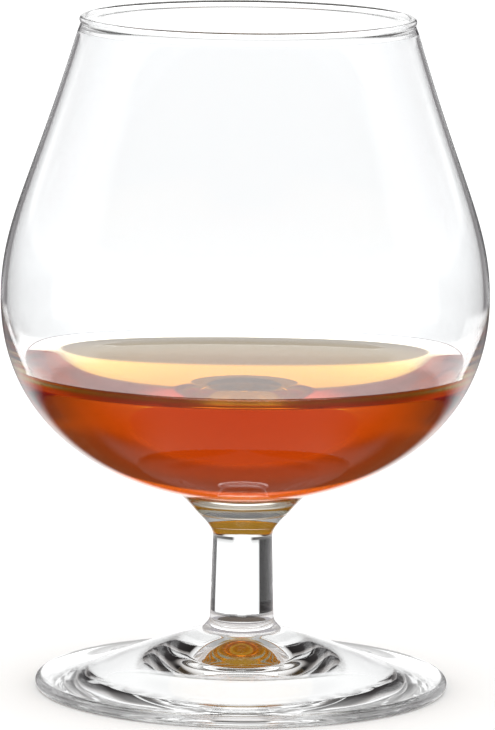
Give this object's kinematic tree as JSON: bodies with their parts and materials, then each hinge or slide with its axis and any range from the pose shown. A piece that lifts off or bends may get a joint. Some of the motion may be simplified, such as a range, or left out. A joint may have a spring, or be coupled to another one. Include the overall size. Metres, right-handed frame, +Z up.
{
  "type": "brandy snifter",
  "caption": "Brandy snifter: wide clear glass bowl that narrows to a small mouth, short solid stem and round domed foot, part filled with brandy.",
  "frame": {"origin": "middle of the foot's resting plane, on the glass's own axis", "axes": "+Z up along the glass's axis of revolution, from the foot to the mouth"},
  "size_m": [0.088, 0.088, 0.122],
  "materials": {
    "clear_glass": "fire polished",
    "amber_brandy": "clear liquid"
  },
  "bodies": {
    "glass": {"bowl": "clear_glass", "stem": "clear_glass", "foot": "clear_glass"},
    "drink": {"brandy": "amber_brandy"}
  },
  "joints": [
    {"name": "brandy_swirl", "type": "hinge", "parent": "glass", "child": "drink", "pos_m": [0, 0, 0.047], "axis": [0, 0, 1], "continuous": true}
  ]
}
